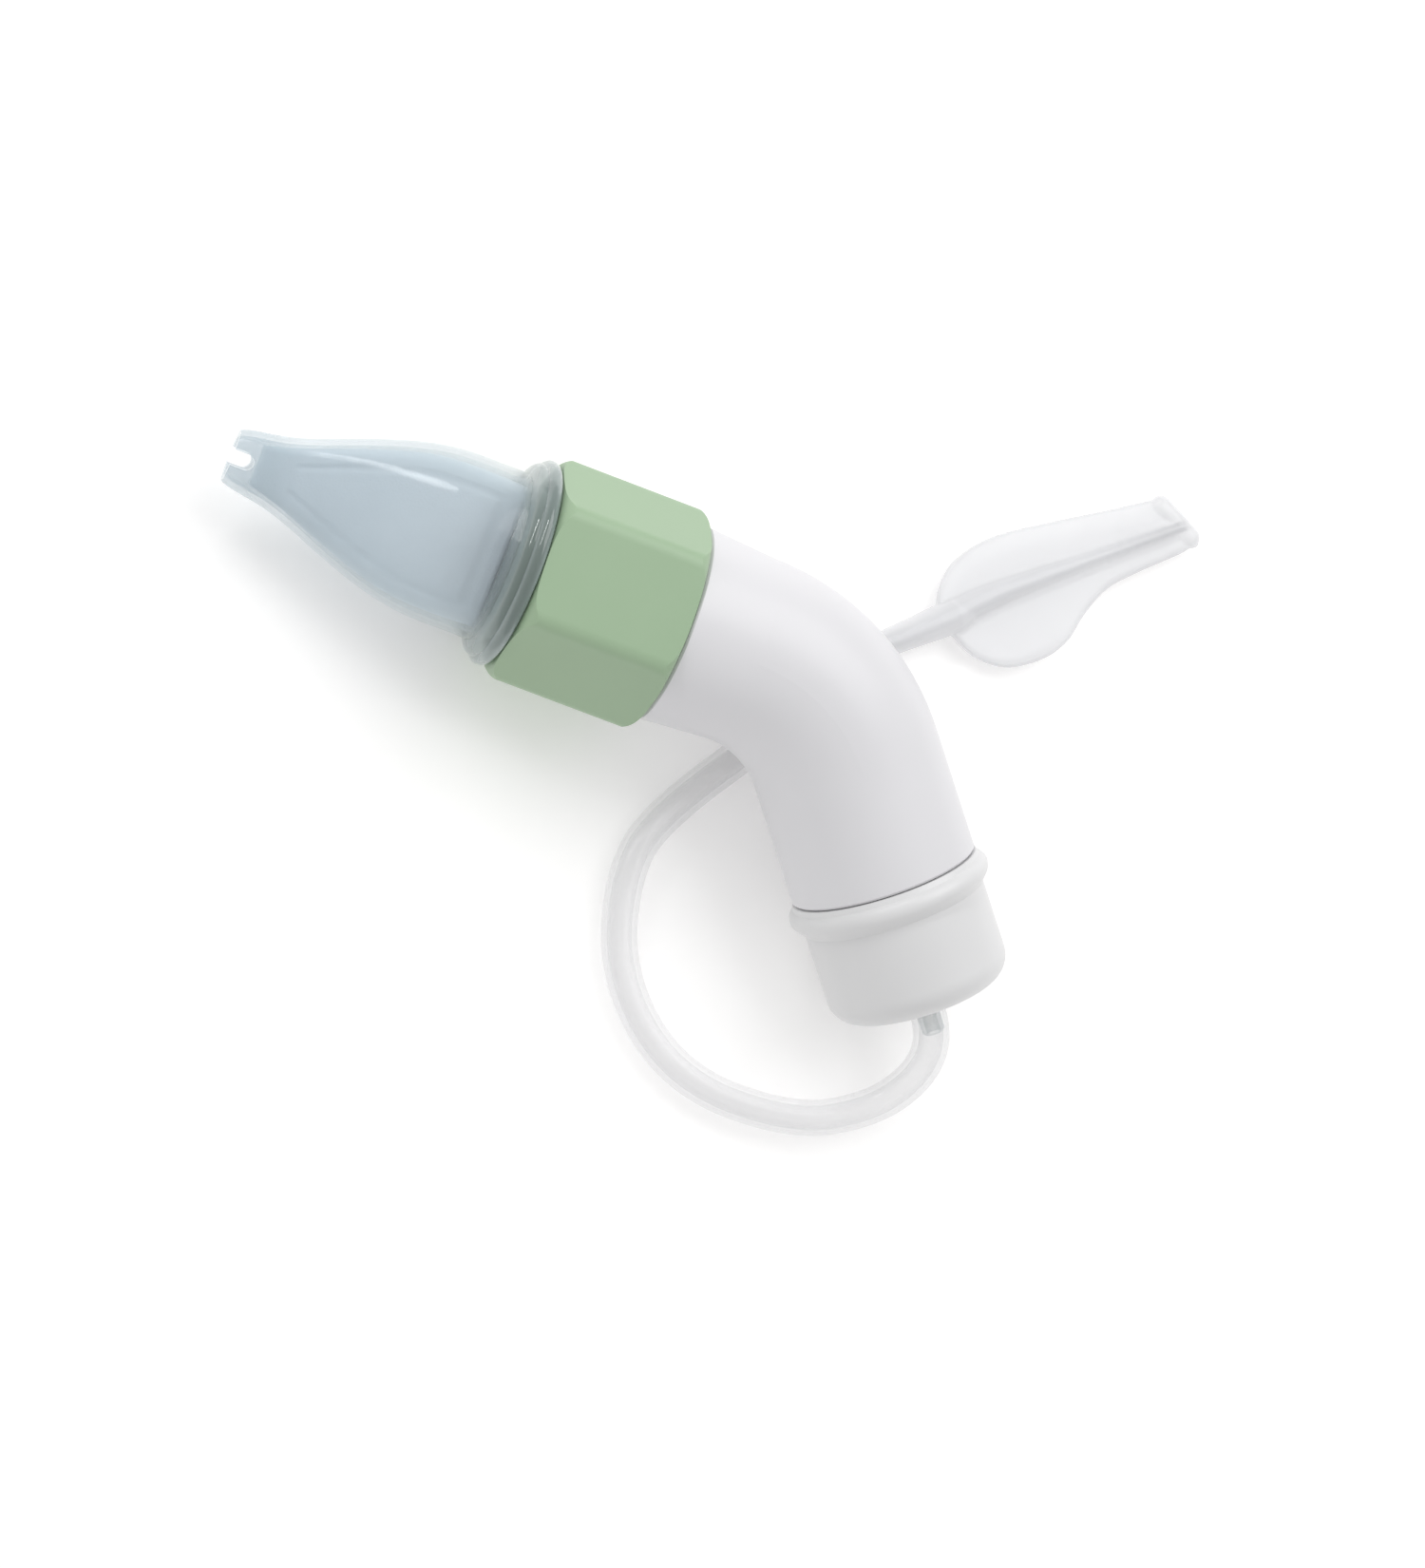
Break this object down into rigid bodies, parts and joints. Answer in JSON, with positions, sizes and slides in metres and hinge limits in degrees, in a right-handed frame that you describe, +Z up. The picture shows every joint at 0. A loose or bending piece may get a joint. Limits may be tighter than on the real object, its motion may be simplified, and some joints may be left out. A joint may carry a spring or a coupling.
{
  "type": "nasal aspirator",
  "caption": "Mouth-suction nasal aspirator: bent hollow handle, screw collar, clear duck-bill nozzle with absorbent pad, push-on cap, looped hose and leaf-shaped mouthpiece.",
  "frame": {"origin": "bottom centre of the handle, collar, nozzle and cap, on the table the aspirator lies on", "axes": "+X runs from the nozzle's end towards the mouthpiece, +Y across towards the bend, +Z up from the table"},
  "size_m": [0.1749, 0.1129, 0.038],
  "materials": {
    "white_plastic": "satin white moulded plastic",
    "sage_plastic": "satin sage-green moulded plastic",
    "silicone": "matt translucent silicone",
    "clear_plastic": "clear gloss plastic",
    "pad_fabric": "blue-grey absorbent non-woven",
    "cap_plastic": "satin white moulded plastic",
    "hose_clear": "clear flexible tubing",
    "frosted_silicone": "frosted soft silicone"
  },
  "bodies": {
    "handle": {"handle": "white_plastic"},
    "seal": {"neck_seal": "silicone"},
    "collar": {"collar": "sage_plastic"},
    "nozzle": {"nozzle": "clear_plastic"},
    "pad": {"filter_pad": "pad_fabric"},
    "cap": {"end_cap": "cap_plastic", "cap_seal": "silicone", "hose_spigot": "clear_plastic", "hose": "hose_clear"},
    "mouthpiece": {"mouthpiece": "frosted_silicone"}
  },
  "joints": [
    {"name": "collar_advance", "type": "slide", "parent": "handle", "child": "seal", "axis": [-0.9314, 0.3462, -0.1122], "range_m": [0, 0.01]},
    {"name": "collar_turn", "type": "hinge", "parent": "seal", "child": "collar", "pos_m": [-0.00478, 0.02247, 0.019], "axis": [-0.9314, 0.3462, -0.1122], "range_deg": [0, 720]},
    {"name": "nozzle_pull", "type": "slide", "parent": "collar", "child": "nozzle", "axis": [-0.9314, 0.3462, -0.1122], "range_m": [0, 0.012]},
    {"name": "pad_draw", "type": "slide", "parent": "nozzle", "child": "pad", "axis": [0.9314, -0.3462, 0.1122], "range_m": [0, 0.012]},
    {"name": "cap_pull", "type": "slide", "parent": "handle", "child": "cap", "axis": [0.3697, -0.9148, -0.1628], "range_m": [0, 0.009]},
    {"name": "mouthpiece_pull", "type": "slide", "parent": "cap", "child": "mouthpiece", "axis": [0.933, 0.36, 0], "range_m": [0, 0.008]}
  ],
  "couplings": [
    {"joint": "collar_advance", "follows": "collar_turn", "m_per_rad": 0.00079577}
  ]
}
